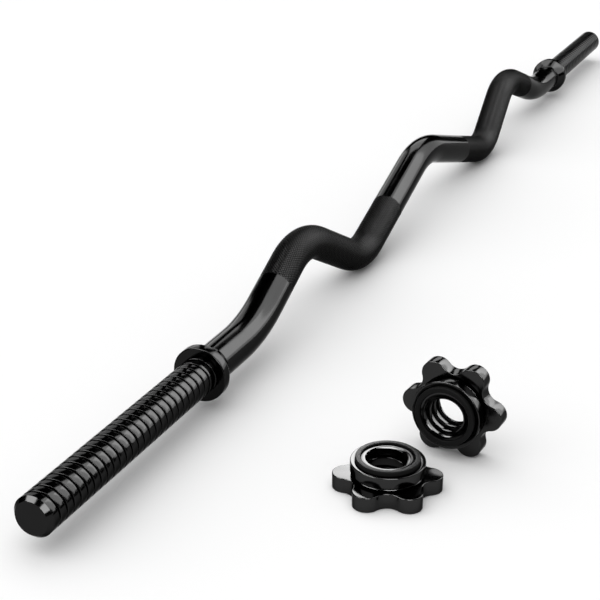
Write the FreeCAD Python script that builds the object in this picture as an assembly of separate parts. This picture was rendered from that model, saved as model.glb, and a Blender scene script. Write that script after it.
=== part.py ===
import FreeCAD, Part
import math
import os

# EZ curl bar: a bent one-piece steel bar with two threaded sleeves, a welded stop collar at
# the root of each sleeve, and two lobed star collars with rubber seals, lying beside the bar.
# Lengths are in millimetres, angles in degrees. X runs along the bar, Z is up, the floor is Z = 0.

# Bar stock and sleeves
bar_length = 1200.0            # over both ends
bar_d = 25.0                   # grip
sleeve_d = 24.6                # over the thread crests
sleeve_length = 183.2          # from the end to the stop collar's outer face
end_chamfer_axial = 2.5
end_chamfer_radial = 2.2

# Bends of one half, from the sleeve to the middle. Heights are those of the centre line's
# corners over the sleeves' axis. Places are shares of the way from the bar's middle to the
# stop collar's outer face, so that a longer bar spreads its bends.
first_bend_share = 0.8238
first_bend_radius = 140.5
peak_share = 0.5995
peak_rise = 34.6
peak_radius = 63.7
trough_share = 0.3802
trough_drop = 14.4
trough_radius = 59.7
centre_rise = 30.3
centre_radius = 104.7
lean_deg = 8.92                # the bend plane leans this far from upright, to +Y

# Stop collar and the weld behind it
stop_d = 36.4
stop_thick = 14.8
stop_edge_round = 0.7          # at the face that the plates rest on
stop_bevel_axial = 8.4         # cone at the back
stop_bevel_radial = 4.7
stop_fit_gap = 0.05            # radial, before welding
weld_leg = 0.95
weld_bulge = 0.2               # swell of the bead's face past a flat fillet

# Star collar: lobed plate, undercut neck, hub with a seal groove, threaded bore
lobe_count = 6
star_tip_r = 31.4
star_valley_r = 23.1
lobe_r = 8.0
star_thick = 9.2
star_edge_round = 0.45
neck_r = 19.6
neck_height = 2.0
neck_fillet = 0.9
hub_r = 21.4
hub_height = 6.6
hub_edge_round = 0.5
thread_clearance = 0.3         # radial, over the sleeve's crests
bore_chamfer = 0.4
groove_inner_r = 15.2
groove_outer_r = 18.6
groove_depth = 3.0
boss_rise = 1.4                # round the bore, inside the seal

# Rubber seal in the hub's groove
seal_side_gap = 0.3            # radial, on both sides
seal_floor_gap = 0.2           # lets the nut turn under a seal that grips a plate
seal_proud = 2.4
seal_edge_round = 0.5

# Places of the star collars, measured from the bar's middle
flat_collar_x = -459.4         # lies on its star, hub up
flat_collar_y = -142.6
flat_collar_turn_deg = -8.9
standing_collar_x = -397.5     # stands on two lobes, hub to the near end
standing_collar_y = -162.3
standing_collar_turn_deg = 4.95

cut_overrun = 1.0

# Derived sizes
bar_r = bar_d / 2
sleeve_r = sleeve_d / 2
stop_r = stop_d / 2
half_length = bar_length / 2
stop_face_x = half_length - sleeve_length
stop_back_x = stop_face_x - stop_thick
first_bend_x = first_bend_share * stop_face_x
peak_x = peak_share * stop_face_x
trough_x = trough_share * stop_face_x
bore_r = sleeve_r + thread_clearance
neck_z = star_thick + neck_height
hub_z = neck_z + hub_height
boss_z = hub_z + boss_rise
lobe_centre_r = star_tip_r - lobe_r
half_pitch = math.pi / lobe_count
standing_height = lobe_centre_r * math.cos(half_pitch) + lobe_r
standing_turn = math.radians(standing_collar_turn_deg)
# the footprint of the whole set is centred on Y = 0
front_reach = standing_collar_y - star_tip_r * math.cos(standing_turn)
bar_y = -(front_reach + stop_r) / 2

V = FreeCAD.Vector
X_AXIS = V(1, 0, 0)
Y_AXIS = V(0, 1, 0)
Z_AXIS = V(0, 0, 1)


def line(start, end):
    return Part.LineSegment(start, end).toShape()


def arc(start, via, end):
    return Part.Arc(start, via, end).toShape()


def revolved(edges, axis):
    """A closed profile turned once round an axis through the origin."""
    return Part.Face(Part.Wire(edges)).revolve(V(0, 0, 0), axis, 360)


def polygon(points):
    return [line(a, b) for a, b in zip(points, points[1:] + points[:1])]


def bend(before, corner, after, radius):
    """Start, middle, end and centre of the arc that rounds a corner of the centre line."""
    back = (before - corner).normalize()
    ahead = (after - corner).normalize()
    half_angle = back.getAngle(ahead) / 2
    tangent = radius / math.tan(half_angle)
    inward = (back + ahead).normalize()
    centre = corner + inward * (radius / math.sin(half_angle))
    return corner + back * tangent, centre - inward * radius, corner + ahead * tangent, centre


# Centre line of the bend plane, from the near stop collar to the far one
half_line = [
    (first_bend_x, 0, first_bend_radius),
    (peak_x, peak_rise, peak_radius),
    (trough_x, -trough_drop, trough_radius),
]
corners = [V(-x, 0, rise) for x, rise, radius in half_line]
corners += [V(0, 0, centre_rise)]
corners += [V(x, 0, rise) for x, rise, radius in reversed(half_line)]
radii = [radius for x, rise, radius in half_line]
radii += [centre_radius] + radii[::-1]
route = [V(-stop_face_x, 0, 0)] + corners + [V(stop_face_x, 0, 0)]
path = []
at = route[0]
lowest = 0
for before, corner, after, radius in zip(route, corners, route[2:], radii):
    start, middle, end, centre = bend(before, corner, after, radius)
    path += [line(at, start), arc(start, middle, end)]
    if centre.z > corner.z:
        lowest = min(lowest, centre.z - radius)
    at = end
path.append(line(at, route[-1]))

# Round bar swept along the centre line
section = Part.Wire(Part.makeCircle(bar_r, route[0], X_AXIS))
grip = Part.Wire(path).makePipeShell([section], True, False)

# Sleeves, with the chamfer that starts the thread
sleeve_profile = [
    V(stop_face_x, 0, 0),
    V(stop_face_x, 0, sleeve_r),
    V(half_length - end_chamfer_axial, 0, sleeve_r),
    V(half_length, 0, sleeve_r - end_chamfer_radial),
    V(half_length, 0, 0),
]
far_sleeve = revolved(polygon(sleeve_profile), X_AXIS)
near_sleeve = far_sleeve.rotated(V(0, 0, 0), Z_AXIS, 180)
bar = grip.fuse([near_sleeve, far_sleeve])

# Stop collar: a ring with a flat face for the plates, a cylindrical rim and a conical back
stop_bore_r = bar_r + stop_fit_gap
round_off = stop_edge_round * (1 - math.sqrt(0.5))
face_corner = [
    V(stop_face_x, 0, stop_r - stop_edge_round),
    V(stop_face_x - round_off, 0, stop_r - round_off),
    V(stop_face_x - stop_edge_round, 0, stop_r),
]
face_inner = V(stop_face_x, 0, stop_bore_r)
cone_rim = V(stop_back_x + stop_bevel_axial, 0, stop_r)
cone_foot = V(stop_back_x, 0, stop_r - stop_bevel_radial)
back_inner = V(stop_back_x, 0, stop_bore_r)
far_stop_collar = revolved([
    line(face_inner, face_corner[0]),
    arc(*face_corner),
    line(face_corner[2], cone_rim),
    line(cone_rim, cone_foot),
    line(cone_foot, back_inner),
    line(back_inner, face_inner),
], X_AXIS)

# Weld bead in the corner behind the collar, with a swelling face
weld_swell = weld_leg / 2 + weld_bulge * math.sqrt(0.5)
weld_top = V(stop_back_x, 0, stop_bore_r + weld_leg)
weld_via = V(stop_back_x - weld_swell, 0, stop_bore_r + weld_swell)
weld_foot = V(stop_back_x - weld_leg, 0, stop_bore_r)
far_weld_bead = revolved([
    line(back_inner, weld_top),
    arc(weld_top, weld_via, weld_foot),
    line(weld_foot, back_inner),
], X_AXIS)
near_stop_collar = far_stop_collar.rotated(V(0, 0, 0), Z_AXIS, 180)
near_weld_bead = far_weld_bead.rotated(V(0, 0, 0), Z_AXIS, 180)

# The bar leans and stands on the undersides of its two troughs
axis_z = bar_r - lowest * math.cos(math.radians(lean_deg))
standing = FreeCAD.Placement(V(0, bar_y, axis_z), FreeCAD.Rotation(X_AXIS, -lean_deg))

# Star plate: lobes and valleys are arcs that run into each other
valley_r = (
    lobe_centre_r**2 + star_valley_r**2 - lobe_r**2
    - 2 * lobe_centre_r * star_valley_r * math.cos(half_pitch)
) / (2 * (lobe_r - star_valley_r + lobe_centre_r * math.cos(half_pitch)))
valley_centre_r = star_valley_r + valley_r


def polar(radius, angle):
    return V(radius * math.cos(angle), radius * math.sin(angle), 0)


outline = []
for lobe in range(lobe_count):
    middle = 2 * lobe * half_pitch
    lobe_centre = polar(lobe_centre_r, middle)
    meets = []
    for side in (-1, 1):
        valley_centre = polar(valley_centre_r, middle + side * half_pitch)
        meets.append(lobe_centre + (valley_centre - lobe_centre) * (lobe_r / (lobe_r + valley_r)))
    valley = polar(star_valley_r, middle + half_pitch)
    turn = FreeCAD.Rotation(Z_AXIS, math.degrees(2 * half_pitch))
    outline.append(arc(meets[0], polar(star_tip_r, middle), meets[1]))
    outline.append(arc(meets[1], valley, turn.multVec(meets[0])))
star_plate = Part.Face(Part.Wire(outline)).extrude(V(0, 0, star_thick))
rims = [edge for edge in star_plate.Edges if edge.BoundBox.ZLength < star_edge_round]
star_plate = star_plate.makeFillet(star_edge_round, rims)

# Hub: a band that overhangs the neck, rounded above and below, with a raised boss in the middle
hub_off = hub_edge_round * (1 - math.sqrt(0.5))
top_round = [
    V(hub_r, 0, hub_z - hub_edge_round),
    V(hub_r - hub_off, 0, hub_z - hub_off),
    V(hub_r - hub_edge_round, 0, hub_z),
]
low_round = [
    V(hub_r - hub_edge_round, 0, neck_z),
    V(hub_r - hub_off, 0, neck_z + hub_off),
    V(hub_r, 0, neck_z + hub_edge_round),
]
neck_top = V(neck_r, 0, neck_z)
neck_foot = V(neck_r, 0, star_thick + neck_fillet)
fillet_off = neck_fillet * (1 - math.sqrt(0.5))
neck_via = V(neck_r + fillet_off, 0, star_thick + fillet_off)
neck_end = V(neck_r + neck_fillet, 0, star_thick)
hub_core = V(neck_end.x, 0, star_thick / 2)
boss_foot = V(groove_inner_r, 0, hub_z)
boss_edge = V(groove_inner_r, 0, boss_z)
boss_middle = V(0, 0, boss_z)
hub = revolved([
    line(V(0, 0, star_thick / 2), hub_core),
    line(hub_core, neck_end),
    arc(neck_end, neck_via, neck_foot),
    line(neck_foot, neck_top),
    line(neck_top, low_round[0]),
    arc(*low_round),
    line(low_round[2], top_round[0]),
    arc(*top_round),
    line(top_round[2], boss_foot),
    line(boss_foot, boss_edge),
    line(boss_edge, boss_middle),
    line(boss_middle, V(0, 0, star_thick / 2)),
], Z_AXIS)

# Bore at the thread's full diameter, countersunk at both mouths, and the groove for the seal
mouth_r = bore_r + bore_chamfer
flared_r = mouth_r + cut_overrun
bore = revolved(polygon([
    V(0, 0, -cut_overrun),
    V(flared_r, 0, -cut_overrun),
    V(bore_r, 0, bore_chamfer),
    V(bore_r, 0, boss_z - bore_chamfer),
    V(flared_r, 0, boss_z + cut_overrun),
    V(0, 0, boss_z + cut_overrun),
]), Z_AXIS)
groove_z = hub_z - groove_depth
groove = revolved(polygon([
    V(groove_inner_r, 0, groove_z),
    V(groove_outer_r, 0, groove_z),
    V(groove_outer_r, 0, hub_z + cut_overrun),
    V(groove_inner_r, 0, hub_z + cut_overrun),
]), Z_AXIS)
star_nut = star_plate.fuse(hub).cut(bore).cut(groove).removeSplitter()

# Seal: a flat rubber ring with softened top edges
seal_in = groove_inner_r + seal_side_gap
seal_out = groove_outer_r - seal_side_gap
seal_top = hub_z + seal_proud
seal_foot = groove_z + seal_floor_gap
seal_off = seal_edge_round * (1 - math.sqrt(0.5))
outer_round = [
    V(seal_out, 0, seal_top - seal_edge_round),
    V(seal_out - seal_off, 0, seal_top - seal_off),
    V(seal_out - seal_edge_round, 0, seal_top),
]
inner_round = [
    V(seal_in + seal_edge_round, 0, seal_top),
    V(seal_in + seal_off, 0, seal_top - seal_off),
    V(seal_in, 0, seal_top - seal_edge_round),
]
seal_ring = revolved([
    line(V(seal_in, 0, seal_foot), V(seal_out, 0, seal_foot)),
    line(V(seal_out, 0, seal_foot), outer_round[0]),
    arc(*outer_round),
    line(outer_round[2], inner_round[0]),
    arc(*inner_round),
    line(inner_round[2], V(seal_in, 0, seal_foot)),
], Z_AXIS)

# One collar lies on its star; the other stands on two lobes with its hub to the near end
flat_place = FreeCAD.Placement(
    V(flat_collar_x, flat_collar_y + bar_y, 0),
    FreeCAD.Rotation(Z_AXIS, flat_collar_turn_deg),
)
tip_over = FreeCAD.Rotation(Y_AXIS, -90)
face_round = FreeCAD.Rotation(Z_AXIS, -standing_collar_turn_deg)
half_turn = FreeCAD.Rotation(Z_AXIS, math.degrees(half_pitch))
standing_place = FreeCAD.Placement(
    V(standing_collar_x, standing_collar_y + bar_y, standing_height),
    face_round * tip_over * half_turn,
)


def placed(shape, placement):
    moved = shape.copy()
    moved.Placement = placement * moved.Placement
    return moved


pieces = {
    "bar": placed(bar, standing),
    "near_stop_collar": placed(near_stop_collar, standing),
    "near_weld_bead": placed(near_weld_bead, standing),
    "far_stop_collar": placed(far_stop_collar, standing),
    "far_weld_bead": placed(far_weld_bead, standing),
    "flat_collar_nut": placed(star_nut, flat_place),
    "flat_collar_seal": placed(seal_ring, flat_place),
    "standing_collar_nut": placed(star_nut, standing_place),
    "standing_collar_seal": placed(seal_ring, standing_place),
}

os.makedirs("parts", exist_ok=True)
for name, shape in pieces.items():
    shape.exportStep(os.path.join("parts", name + ".step"))
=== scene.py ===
import math

import bmesh
import bpy
from mathutils import Matrix, Vector


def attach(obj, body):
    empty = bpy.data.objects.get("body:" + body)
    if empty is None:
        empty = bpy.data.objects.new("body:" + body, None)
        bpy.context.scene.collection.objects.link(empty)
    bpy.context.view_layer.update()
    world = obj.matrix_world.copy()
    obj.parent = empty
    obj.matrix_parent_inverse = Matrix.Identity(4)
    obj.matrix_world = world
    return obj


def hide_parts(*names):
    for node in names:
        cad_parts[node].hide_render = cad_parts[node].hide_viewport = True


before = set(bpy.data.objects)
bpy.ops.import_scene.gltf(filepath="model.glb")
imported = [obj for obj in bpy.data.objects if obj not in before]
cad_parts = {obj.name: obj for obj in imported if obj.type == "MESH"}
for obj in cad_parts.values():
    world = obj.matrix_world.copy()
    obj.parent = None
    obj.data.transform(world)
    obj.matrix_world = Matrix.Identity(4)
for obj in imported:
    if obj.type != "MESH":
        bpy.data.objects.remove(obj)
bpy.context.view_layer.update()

# Bar, plain lengths
# One solid 25 mm steel rod, cold bent into the zigzag of a curl grip. In the middle and behind each
# stop collar it is left smooth, under a thick gloss black coat.
bar_radius = 0.01246
bar_facets = 96
bend_steps = 40
stop_face = 0.4168
first_bend = Vector((-0.34336, 0, 0))
peak = Vector((-0.249872, 0, 0.0346))
trough = Vector((-0.158467, 0, -0.0144))
crown = Vector((0, 0, 0.0303))
first_bend_radius, peak_radius, trough_radius, crown_radius = 0.1405, 0.0637, 0.0597, 0.1047
knurl_outer_end = first_bend.lerp(peak, 0.4535)
knurl_inner_end = trough.lerp(crown, 0.4322)
bar_lean = math.radians(-8.92)
bar_place = Matrix.Translation((0, 0.0876914, 0.0224803)) @ Matrix.Rotation(bar_lean, 4, "X")
half_turn_about = Matrix.Rotation(math.pi, 4, "Z")
grip_sides = (("near", Matrix.Identity(4)), ("far", half_turn_about))


def bend(before, corner, after, radius):
    """First and last point, centre, axis and turn of the arc that rounds a corner of the bar."""
    ahead = (corner - before).normalized()
    onward = (after - corner).normalized()
    turn = ahead.angle(onward)
    reach = radius * math.tan(turn / 2)
    centre = corner + (onward - ahead).normalized() * (radius / math.cos(turn / 2))
    return corner - ahead * reach, corner + onward * reach, centre, ahead.cross(onward), turn


def pull(mesh, rim, move):
    """Draws an open rim out along a straight run and gives the new rim."""
    drawn = bmesh.ops.extrude_edge_only(mesh, edges=rim)["geom"]
    bmesh.ops.translate(mesh, vec=move, verts=[e for e in drawn if isinstance(e, bmesh.types.BMVert)])
    return [e for e in drawn if isinstance(e, bmesh.types.BMEdge) and e.is_boundary]


def bent_length(start, corner, end, radius):
    """A round length of bar with one bend, closed at both ends."""
    mesh = bmesh.new()
    arc_start, arc_end, centre, axis, turn = bend(start, corner, end, radius)
    facing = (corner - start).to_track_quat("Z", "Y").to_matrix().to_4x4()
    bmesh.ops.create_circle(
        mesh, cap_ends=True, segments=bar_facets, radius=bar_radius,
        matrix=Matrix.Translation(start) @ facing,
    )
    rim = pull(mesh, mesh.edges[:], arc_start - start)
    spun = bmesh.ops.spin(mesh, geom=rim, cent=centre, axis=axis, angle=turn, steps=bend_steps)["geom_last"]
    rim = pull(mesh, [e for e in spun if isinstance(e, bmesh.types.BMEdge)], end - arc_end)
    bmesh.ops.edgeloop_fill(mesh, edges=rim)
    return mesh


def settle(mesh, name, place, body, finish, sharp=32):
    """Makes the mesh a piece at its place, shaded smooth between sharp edges, that rides on a body."""
    bmesh.ops.remove_doubles(mesh, verts=mesh.verts, dist=1e-7)
    bmesh.ops.recalc_face_normals(mesh, faces=mesh.faces)
    bmesh.ops.transform(mesh, matrix=place, verts=mesh.verts)
    data = bpy.data.meshes.new(name)
    mesh.to_mesh(data)
    mesh.free()
    data.shade_smooth()
    data.set_sharp_from_angle(angle=math.radians(sharp))
    data.materials.append(finish)
    piece = bpy.data.objects.new(name, data)
    bpy.context.scene.collection.objects.link(piece)
    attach(piece, body)
    return piece


def black_coat(name, faint, bright, smooth, rough, peel_scale, peel_height, edge=0.5):
    """A black coat that mirrors like dark metal, faintly cloudy in tone and gloss, with the fine peel of a
    dried film. The edge value is how much it mirrors near a glancing angle."""
    coat = bpy.data.materials.new(name)
    coat.use_nodes = True
    nodes, links = coat.node_tree.nodes, coat.node_tree.links
    shader = nodes["Principled BSDF"]
    shader.inputs["Metallic"].default_value = 1
    shader.inputs["Specular Tint"].default_value = (edge, edge, edge, 1)
    place = nodes.new("ShaderNodeTexCoord")
    cloud = nodes.new("ShaderNodeTexNoise")
    cloud.inputs["Scale"].default_value = 38
    cloud.inputs["Detail"].default_value = 5
    tone = nodes.new("ShaderNodeMix")
    tone.data_type = "RGBA"
    tone.inputs["A"].default_value = (faint, faint, faint, 1)
    tone.inputs["B"].default_value = (bright, bright, bright, 1)
    gloss = nodes.new("ShaderNodeMapRange")
    gloss.inputs["From Min"].default_value = 0.3
    gloss.inputs["From Max"].default_value = 0.7
    gloss.inputs["To Min"].default_value = smooth
    gloss.inputs["To Max"].default_value = rough
    peel = nodes.new("ShaderNodeTexNoise")
    peel.inputs["Scale"].default_value = peel_scale
    peel.inputs["Detail"].default_value = 2
    film = nodes.new("ShaderNodeBump")
    film.inputs["Strength"].default_value = 0.35
    film.inputs["Distance"].default_value = peel_height
    links.new(place.outputs["Object"], cloud.inputs["Vector"])
    links.new(place.outputs["Object"], peel.inputs["Vector"])
    links.new(cloud.outputs["Fac"], tone.inputs["Factor"])
    links.new(cloud.outputs["Fac"], gloss.inputs["Value"])
    links.new(tone.outputs["Result"], shader.inputs["Base Color"])
    links.new(gloss.outputs["Result"], shader.inputs["Roughness"])
    links.new(peel.outputs["Fac"], film.inputs["Height"])
    links.new(film.outputs["Normal"], shader.inputs["Normal"])
    return coat


gloss_black = black_coat("gloss_black", 0.0125, 0.0155, 0.1, 0.15, 420, 0.00001)
middle = settle(
    bent_length(knurl_inner_end, crown, half_turn_about @ knurl_inner_end, crown_radius),
    "bar_middle", bar_place, "bar", gloss_black,
)
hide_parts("bar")
for side, turned in grip_sides:
    shoulder = bent_length(Vector((-stop_face, 0, 0)), first_bend, knurl_outer_end, first_bend_radius)
    settle(shoulder, side + "_shoulder", bar_place @ turned, "bar", gloss_black)

# Knurled grips
# The two gripped stretches of the same rod, each over a peak and a trough. Crossed knurling wheels
# rolled diamonds into the steel before it was coated, so the film looks dull there.
knurl_step = 0.0012
knurl_columns = 66
knurl_valley_radius = 0.01226
knurl_edge_radius = 0.01236
knurl_sharp = 10
crest_shine = 0.012


def grip_stations():
    """Places along a grip's centre line, one for each row of diamond corners."""
    peak_start, peak_end, peak_centre, peak_axis, peak_turn = bend(
        knurl_outer_end, peak, trough, peak_radius
    )
    trough_start, trough_end, trough_centre, trough_axis, trough_turn = bend(
        peak, trough, knurl_inner_end, trough_radius
    )
    legs = (
        ((peak_start - knurl_outer_end).length, None),
        (peak_radius * peak_turn, (peak_centre, peak_axis, peak_turn)),
        ((trough_start - peak_end).length, None),
        (trough_radius * trough_turn, (trough_centre, trough_axis, trough_turn)),
        ((knurl_inner_end - trough_end).length, None),
    )
    whole = sum(length for length, arc in legs)
    rows = round(whole / knurl_step)
    facing = (peak_start - knurl_outer_end).normalized().to_track_quat("X", "Z").to_matrix().to_4x4()
    stations = []
    for row in range(rows + 1):
        at = Matrix.Translation(knurl_outer_end) @ facing
        left = whole * row / rows
        for length, arc in legs:
            gone = min(left, length)
            if arc:
                centre, axis, turn = arc
                about = Matrix.Translation(centre)
                at = about @ Matrix.Rotation(turn * gone / length, 4, axis) @ about.inverted() @ at
            else:
                at = at @ Matrix.Translation((gone, 0, 0))
            left -= gone
            if left <= 0:
                break
        stations.append(at)
    return stations


def knurled_grip():
    """A flat sheet of raised and sunk corners, one unit square, that is wrapped round the centre line."""
    stations = grip_stations()
    rows = len(stations) - 1
    mesh = bmesh.new()
    bmesh.ops.create_grid(mesh, x_segments=rows, y_segments=knurl_columns, size=0.5)
    crest = mesh.verts.layers.float.new("knurl_crest")
    low = []
    for corner in mesh.verts:
        row = round((corner.co.x + 0.5) * rows)
        column = round((corner.co.y + 0.5) * knurl_columns)
        raised = (row + column) % 2 == 0
        if not raised:
            low.append(corner)
        radius = bar_radius if raised else knurl_valley_radius
        if row in (0, rows):
            radius = knurl_edge_radius
        corner[crest] = 1.0 if raised else 0.0
        angle = 2 * math.pi * column / knurl_columns
        corner.co = stations[row] @ Vector((0, radius * math.cos(angle), radius * math.sin(angle)))
    bmesh.ops.connect_verts(mesh, verts=low)
    bmesh.ops.remove_doubles(mesh, verts=mesh.verts, dist=1e-6)
    bmesh.ops.holes_fill(mesh, edges=[e for e in mesh.edges if e.is_boundary])
    return mesh


knurl_black = black_coat("knurl_black", 0.006, 0.008, 0.28, 0.36, 1500, 0.00003, 0.44)
nodes, links = knurl_black.node_tree.nodes, knurl_black.node_tree.links
crest_seen = nodes.new("ShaderNodeAttribute")
crest_seen.attribute_name = "knurl_crest"
crest_tone = nodes.new("ShaderNodeMix")
crest_tone.data_type = "RGBA"
crest_tone.blend_type = "ADD"
crest_tone.inputs["B"].default_value = (crest_shine, crest_shine, crest_shine, 1)
shader = nodes["Principled BSDF"]
links.new(crest_seen.outputs["Fac"], crest_tone.inputs["Factor"])
links.new(shader.inputs["Base Color"].links[0].from_socket, crest_tone.inputs["A"])
links.new(crest_tone.outputs["Result"], shader.inputs["Base Color"])
for side, turned in grip_sides:
    settle(knurled_grip(), side + "_grip", bar_place @ turned, "bar", knurl_black, knurl_sharp)

# Threaded sleeves
# The rod's two ends, cut with a coarse right-hand thread of wide flat crests and narrow grooves, from
# the stop collar to a chamfered end. The black coat lies over the thread.
thread_lead = 0.00665
crest_radius = 0.0123
crest_width = 0.0051
crest_round = 0.0004
root_radius = 0.0108
root_flat = 0.0008
flank = 27
bar_end = 0.6
end_chamfer = 0.0025
end_chamfer_drop = 0.0022
turn_steps = 72
thread_sharp = 40
bar_axis = (1, 0, 0)
sleeve_sides = (("near", half_turn_about), ("far", Matrix.Identity(4)))


def rounded(centre_a, centre_b, radius, first, last, steps=5):
    """Points of a rounded corner of a section, between two angles in degrees."""
    angles = [math.radians(first + (last - first) * step / steps) for step in range(steps + 1)]
    return [(centre_a + radius * math.cos(a), centre_b + radius * math.sin(a)) for a in angles]


def cut_across(mesh, at, axis, clear_outer=False, clear_inner=False):
    """Cuts a mesh square to an axis, and clears what lies past the cut or before it."""
    bmesh.ops.bisect_plane(
        mesh, geom=mesh.verts[:] + mesh.edges[:] + mesh.faces[:], plane_co=at * Vector(axis),
        plane_no=axis, clear_outer=clear_outer, clear_inner=clear_inner,
    )


def threaded_sleeve():
    """One turn of the thread, repeated along the sleeve and cut to its length."""
    mesh = bmesh.new()
    start = stop_face - 2 * thread_lead
    out = crest_width / 2 - crest_round
    edge_up = crest_radius - crest_round
    form = [(-thread_lead / 2, root_radius), ((root_flat - thread_lead) / 2, root_radius)]
    form += rounded(-out, edge_up, crest_round, 180 - flank, 90)
    form += rounded(out, edge_up, crest_round, 90, flank)
    form += [((thread_lead - root_flat) / 2, root_radius), (thread_lead / 2, root_radius)]
    points = [mesh.verts.new((start + along, 0, radius)) for along, radius in form]
    edges = [mesh.edges.new(pair) for pair in zip(points, points[1:])]
    bmesh.ops.spin(
        mesh, geom=points + edges, cent=(0, 0, 0), axis=bar_axis, dvec=(thread_lead / turn_steps, 0, 0),
        angle=2 * math.pi, steps=turn_steps,
    )
    one_turn = mesh.verts[:] + mesh.edges[:] + mesh.faces[:]
    for turn in range(1, math.ceil((bar_end - start) / thread_lead)):
        copied = bmesh.ops.duplicate(mesh, geom=one_turn)["geom"]
        verts = [e for e in copied if isinstance(e, bmesh.types.BMVert)]
        bmesh.ops.translate(mesh, vec=(turn * thread_lead, 0, 0), verts=verts)
    bmesh.ops.remove_doubles(mesh, verts=mesh.verts, dist=1e-6)
    chamfer_start = bar_end - end_chamfer
    cut_across(mesh, stop_face, bar_axis, clear_inner=True)
    cut_across(mesh, chamfer_start, bar_axis)
    cut_across(mesh, bar_end, bar_axis, clear_outer=True)
    for point in mesh.verts:
        past = point.co.x - chamfer_start
        if past > -1e-6:
            point.co.yz *= (crest_radius - past * end_chamfer_drop / end_chamfer) / point.co.yz.length
    bmesh.ops.holes_fill(mesh, edges=[e for e in mesh.edges if e.is_boundary])
    return mesh


thread_black = black_coat("thread_black", 0.015, 0.019, 0.1, 0.16, 700, 0.00001, 0.46)
for side, turned in sleeve_sides:
    place = bar_place @ turned
    settle(threaded_sleeve(), side + "_thread", place, "bar", thread_black, thread_sharp)

# Stop collars
# A turned steel ring, pushed onto the rod at the root of each sleeve as the stop for the weight
# plates: a flat face, a cylindrical rim and a conical back. It is coated with the bar.
stop_back = 0.402
stop_radius = 0.01819
stop_bore = 0.01255
stop_round = 0.0007
stop_steps = 160
cone_length = 0.0084
cone_drop = 0.00469
cone_round = 0.00015


def turned_ring(section, axis, steps):
    """A closed section turned once about an axis through the origin."""
    mesh = bmesh.new()
    corners = [mesh.verts.new(point) for point in section]
    edges = [mesh.edges.new(pair) for pair in zip(corners, corners[1:] + corners[:1])]
    bmesh.ops.spin(
        mesh, geom=corners + edges, cent=(0, 0, 0), axis=axis, angle=2 * math.pi, steps=steps,
        use_merge=True,
    )
    return mesh


def round_rims(mesh, rims, offset, segments):
    """Rounds the given rims of a ring."""
    bmesh.ops.bevel(
        mesh, geom=rims, offset=offset, offset_type="OFFSET", affect="EDGES", segments=segments,
        profile=0.5, material=-1,
    )


def stop_ring():
    cone_top = stop_back + cone_length
    section = (
        (stop_back, 0, stop_bore), (stop_back, 0, stop_radius - cone_drop), (cone_top, 0, stop_radius),
        (stop_face, 0, stop_radius), (stop_face, 0, stop_bore),
    )
    mesh = turned_ring(section, bar_axis, stop_steps)
    for along, offset, segments in ((stop_face, stop_round, 5), (cone_top, cone_round, 2)):
        rim = [
            e for e in mesh.edges
            if all(abs(v.co.x - along) < 1e-6 and v.co.yz.length > stop_radius - 1e-5 for v in e.verts)
        ]
        round_rims(mesh, rim, offset, segments)
    return mesh


for side, turned in sleeve_sides:
    ring = settle(stop_ring(), side + "_stop_ring", bar_place @ turned, "bar", gloss_black)
    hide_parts(side + "_stop_collar")

# Weld beads
# The fillet weld that holds each stop collar to the rod on the grip side: a small swelling bead whose
# laid ripples still show through the coat.
bead_leg = 0.00095
bead_arc_radius = 0.00125
bead_steps = 264
bead_ripples = 60
ripple_depth = 0.00006
ripple_slant = 22
ripple_fullness = 0.6
ripple_sharp = 50


def weld_bead():
    half_arc = math.degrees(math.asin(bead_leg * math.sqrt(0.5) / bead_arc_radius))
    sunk = bead_arc_radius * math.cos(math.radians(half_arc)) * math.sqrt(0.5)
    arc_along = stop_back - bead_leg / 2 + sunk
    arc_up = stop_bore + bead_leg / 2 - sunk
    section = [(stop_back, stop_bore)]
    section += rounded(arc_along, arc_up, bead_arc_radius, 135 - half_arc, 135 + half_arc, 8)
    mesh = turned_ring([(along, 0, radius) for along, radius in section], bar_axis, bead_steps)
    for point in mesh.verts:
        radius = point.co.yz.length
        if radius > stop_bore + ripple_depth and point.co.x < stop_back - ripple_depth:
            angle = math.atan2(point.co.z, point.co.y) + (stop_back - point.co.x) * ripple_slant
            swell = abs(math.sin(angle * bead_ripples / 2)) ** ripple_fullness
            point.co.yz *= 1 - ripple_depth * (1 - swell) / radius
    return mesh


for side, turned in sleeve_sides:
    place = bar_place @ turned
    bead = settle(weld_bead(), side + "_weld_ripple", place, "bar", gloss_black, ripple_sharp)
    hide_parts(side + "_weld_bead")

# Star collar nuts
# Cast iron spin-lock collars under black enamel: a plate of six lobes, a neck, and a hub that is bored
# through, threaded to run on the sleeves and grooved for a seal. One lies flat, the other stands.
lobes = 6
star_tip = 0.03138
star_valley = 0.0231
lobe_radius = 0.008
lobe_columns = 22
valley_columns = 14
star_thick = 0.0092
star_round = 0.00045
bore_radius = 0.0126
bore_chamfer = 0.0004
hub_top = 0.0178
boss_top = 0.0192
hub_foot = 0.0112
hub_radius = 0.0214
hub_round = 0.0005
neck_radius = 0.0196
neck_fillet = 0.0009
groove_inner, groove_outer, groove_floor = 0.0152, 0.0186, 0.0148
groove_lip = 0.0002
ridge_side = ((-0.0008, 0.0128), (-0.0007, 0.0124), (-0.0004, 0.0111), (-0.0002, 0.0109))
ridge_start = -1.2 * thread_lead
ridge_turns = 5
collar_axis = (0, 0, 1)
half_pitch = math.pi / lobes
lobe_centre = star_tip - lobe_radius
valley_radius = (
    lobe_centre**2 + star_valley**2 - lobe_radius**2 - 2 * lobe_centre * star_valley * math.cos(half_pitch)
) / (2 * (lobe_radius - star_valley + lobe_centre * math.cos(half_pitch)))
valley_centre = (star_valley + valley_radius) * Vector((math.cos(half_pitch), math.sin(half_pitch)))
lobe_swing = (valley_centre - Vector((lobe_centre, 0))).angle(Vector((1, 0)))
valley_swing = lobe_swing - half_pitch


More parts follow.
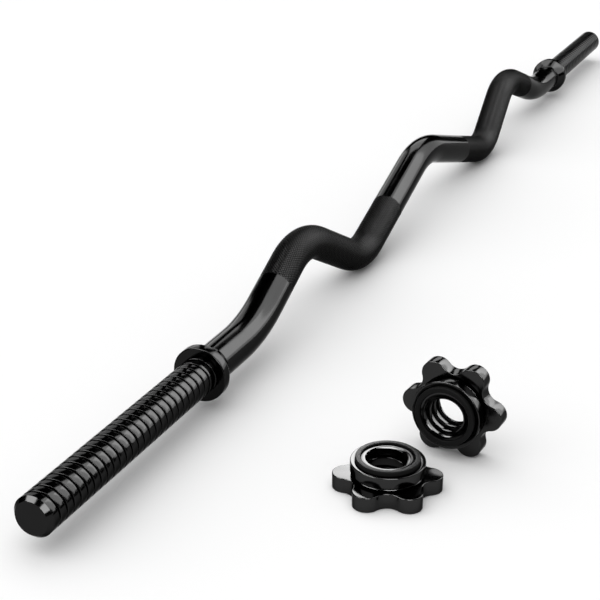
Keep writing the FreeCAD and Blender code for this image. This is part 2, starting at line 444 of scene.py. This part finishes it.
def star_point(column, inset):
    """A point of the star's outline, which is arcs of lobes and valleys, drawn in by the inset."""
    lobe, step = divmod(column + lobe_columns // 2, lobe_columns + valley_columns)
    if step <= lobe_columns:
        angle = lobe_swing * (2 * step / lobe_columns - 1)
        centre, radius = Vector((lobe_centre, 0)), lobe_radius - inset
    else:
        share = 2 * (step - lobe_columns) / valley_columns - 1
        angle = math.pi + half_pitch - valley_swing * share
        centre, radius = valley_centre, valley_radius + inset
    point = centre + radius * Vector((math.cos(angle), math.sin(angle)))
    point.rotate(Matrix.Rotation(2 * half_pitch * lobe, 2))
    return point


def star_nut():
    """The whole casting turned from its section, with its widest rim then drawn in to the star's outline."""
    section = [(bore_radius, bore_chamfer), (bore_radius, boss_top - bore_chamfer)]
    section += [(bore_radius + bore_chamfer, boss_top)]
    section += rounded(groove_inner - groove_lip, boss_top - groove_lip, groove_lip, 90, 0, 3)
    section += [(groove_inner, groove_floor), (groove_outer, groove_floor)]
    section += rounded(groove_outer + groove_lip, hub_top - groove_lip, groove_lip, 180, 90, 3)
    section += rounded(hub_radius - hub_round, hub_top - hub_round, hub_round, 90, 0)
    section += rounded(hub_radius - hub_round, hub_foot + hub_round, hub_round, 0, -90)
    section += [(neck_radius, hub_foot)]
    section += rounded(neck_radius + neck_fillet, star_thick + neck_fillet, neck_fillet, 180, 270)
    section += rounded(star_tip - star_round, star_thick - star_round, star_round, 90, 0)
    section += rounded(star_tip - star_round, star_round, star_round, 0, -90)
    section += [(bore_radius + bore_chamfer, 0)]
    columns = lobes * (lobe_columns + valley_columns)
    mesh = turned_ring([(radius, 0, up) for radius, up in section], collar_axis, columns)
    for point in mesh.verts:
        radius = point.co.xy.length
        if radius > star_tip - star_round - 1e-6:
            column = round(math.atan2(point.co.y, point.co.x) / (2 * math.pi) * columns) % columns
            point.co.xy = star_point(column, star_tip - radius)
    return mesh


def bore_thread():
    """The ridge of the collar's inner thread, rooted in the bore's wall and faced off at both mouths."""
    mesh = bmesh.new()
    ridge = ridge_side + tuple((-along, radius) for along, radius in reversed(ridge_side))
    points = [mesh.verts.new((radius, 0, ridge_start + along)) for along, radius in ridge]
    edges = [mesh.edges.new(pair) for pair in zip(points, points[1:] + points[:1])]
    bmesh.ops.spin(
        mesh, geom=points + edges, cent=(0, 0, 0), axis=collar_axis, dvec=(0, 0, thread_lead / turn_steps),
        angle=2 * math.pi * ridge_turns, steps=turn_steps * ridge_turns,
    )
    cut_across(mesh, bore_chamfer / 2, collar_axis, clear_inner=True)
    cut_across(mesh, boss_top - bore_chamfer / 2, collar_axis, clear_outer=True)
    bmesh.ops.holes_fill(mesh, edges=[e for e in mesh.edges if e.is_boundary])
    return mesh


flat_place = Matrix.Translation((-0.4594, -0.0549086, 0)) @ Matrix.Rotation(math.radians(-8.9), 4, "Z")
standing_place = (
    Matrix.Translation((-0.3975, -0.0746086, 0.028265)) @ Matrix.Rotation(math.radians(-4.95), 4, "Z")
    @ Matrix.Rotation(math.radians(-90), 4, "Y") @ Matrix.Rotation(math.radians(30), 4, "Z")
)
collar_places = (("flat", flat_place), ("standing", standing_place))
enamel_black = black_coat("enamel_black", 0.026, 0.032, 0.1, 0.15, 520, 0.00001, 0.44)
for side, place in collar_places:
    body = side + "_nut"
    nut = settle(star_nut(), side + "_star_nut", place, body, enamel_black)
    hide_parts(side + "_collar_nut")
    settle(bore_thread(), side + "_bore_thread", place, body, enamel_black, thread_sharp)

# Rubber seals
# A moulded ring of matt black rubber, pressed into the groove of each collar's hub and standing proud
# of it, so that it grips the weight plate and keeps the collar from working loose.
seal_inner, seal_outer = 0.01535, 0.01845
seal_foot, seal_top = 0.015, 0.0202
seal_round = 0.0005
seal_steps = 120


def seal_ring():
    section = (
        (seal_inner, 0, seal_foot), (seal_outer, 0, seal_foot), (seal_outer, 0, seal_top),
        (seal_inner, 0, seal_top),
    )
    mesh = turned_ring(section, collar_axis, seal_steps)
    rims = [
        e for e in mesh.edges
        if min(v.co.z for v in e.verts) > seal_top - 1e-5
        and abs(e.verts[0].co.xy.length - e.verts[1].co.xy.length) < 1e-5
    ]
    round_rims(mesh, rims, seal_round, 5)
    return mesh


rubber_black = black_coat("rubber_black", 0.009, 0.012, 0.45, 0.55, 1600, 0.00006)
rubber_shader = rubber_black.node_tree.nodes["Principled BSDF"]
rubber_shader.inputs["Metallic"].default_value = 0
rubber_shader.inputs["Specular IOR Level"].default_value = 0.03
for side, place in collar_places:
    seal = settle(seal_ring(), side + "_seal_ring", place, side + "_seal", rubber_black)
    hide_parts(side + "_collar_seal")

# Studio floor
# A wide sheet of pale matt board that the set lies on. It keeps the soft shadows.
floor_reach = 30
floor_level = -0.0002
board_tone = 0.95
floor_mesh = bmesh.new()
bmesh.ops.create_grid(
    floor_mesh, x_segments=1, y_segments=1, size=floor_reach, matrix=Matrix.Translation((0, 0, floor_level))
)
floor_data = bpy.data.meshes.new("floor")
floor_mesh.to_mesh(floor_data)
floor_mesh.free()
floor = bpy.data.objects.new("floor", floor_data)
bpy.context.scene.collection.objects.link(floor)
board = bpy.data.materials.new("pale_board")
board.use_nodes = True
nodes, links = board.node_tree.nodes, board.node_tree.links
nodes.remove(nodes["Principled BSDF"])
matt = nodes.new("ShaderNodeBsdfDiffuse")
matt.inputs["Color"].default_value = (board_tone, board_tone, board_tone, 1)
links.new(matt.outputs["BSDF"], nodes["Material Output"].inputs["Surface"])
floor_data.materials.append(board)

# Studio light
# Softboxes that show only in gloss: two beyond the far end, two over the far stop collar, two up beside
# the near end, one overhead and a card by the flat collar. A broad key and the room light the floor.
beyond = 1.5
far_stop = (0.405, 0.088, 0.03)
near_sleeve = (-0.55, 0.05, 0.02)
key_heading = Vector((0.17, -0.4, -0.9))
room_tone = 0.45


def softbox(name, centre, towards, width, height, radiance, spread=180):
    """An evenly bright lamp, whose beam is narrow where spread is under 180 degrees."""
    lamp = bpy.data.lights.new(name, "AREA")
    lamp.shape = "RECTANGLE"
    lamp.size = width
    lamp.size_y = height
    lamp.energy = radiance * math.pi * width * height
    lamp.spread = math.radians(spread)
    box = bpy.data.objects.new(name, lamp)
    aim = (Vector(towards) - Vector(centre)).to_track_quat("-Z", "Y").to_matrix().to_4x4()
    box.matrix_world = Matrix.Translation(centre) @ aim
    box.visible_camera = False
    box.visible_diffuse = False
    bpy.context.scene.collection.objects.link(box)


def softbox_beyond(name, y_range, z_range, radiance):
    """A softbox that stands beyond the far end, square to the bar."""
    y, z = sum(y_range) / 2, sum(z_range) / 2
    softbox(name, (beyond, y, z), (0, y, z), y_range[1] - y_range[0], z_range[1] - z_range[0], radiance)


softbox_beyond("right_softbox", (-2.3, -0.15), (0.08, 5), 7.6)
softbox_beyond("left_softbox", (1.25, 2.3), (0.2, 1.4), 6.4)
softbox("far_softbox", (0.774, 0.346, 0.559), far_stop, 0.42, 0.46, 10)
softbox("far_right_softbox", (0.622, -0.463, 0.558), far_stop, 0.46, 0.84, 7.5)
softbox("back_left_softbox", (-1.35, 0.84, 1.1), near_sleeve, 1.2, 0.8, 20)
softbox("back_right_softbox", (-1.7, -0.8, 0.84), near_sleeve, 1.0, 0.8, 20)
softbox("overhead_softbox", (0, 0.05, 2.0), (0, 0.05, 0), 2.8, 1.0, 0.5, 30)
softbox("collar_card", (-0.36, 0.008, 0.078), (-0.46, -0.036, 0.018), 0.06, 0.09, 2.2, 50)
key = bpy.data.lights.new("key", "SUN")
key.energy = 2.15
key.angle = math.radians(110)
key_lamp = bpy.data.objects.new("key", key)
key_lamp.matrix_world = key_heading.to_track_quat("-Z", "Y").to_matrix().to_4x4()
key_lamp.visible_glossy = False
bpy.context.scene.collection.objects.link(key_lamp)
world = bpy.data.worlds.new("studio")
world.use_nodes = True
world.node_tree.nodes["Background"].inputs["Color"].default_value = (room_tone, room_tone, room_tone, 1)
world.cycles_visibility.glossy = False
bpy.context.scene.world = world

# Camera
# A long lens above the near end of the bar, looking down along it, so that the near sleeve comes out
# large and the far one small.
camera_data = bpy.data.cameras.new("camera")
camera_data.lens = 84.24
camera_data.sensor_width = 36
camera = bpy.data.objects.new("camera", camera_data)
camera_at = (-1.10762, -0.29383, 0.41109)
right = (0.41206, -0.91116, 0)
up = (0.35932, 0.16250, 0.91898)
ahead = (0.83732, 0.37867, -0.39435)
aim = Matrix((right, up, tuple(-c for c in ahead))).transposed().to_4x4()
camera.matrix_world = Matrix.Translation(camera_at) @ aim
bpy.context.scene.collection.objects.link(camera)
bpy.context.scene.camera = camera
bpy.context.scene.view_settings.view_transform = "Standard"
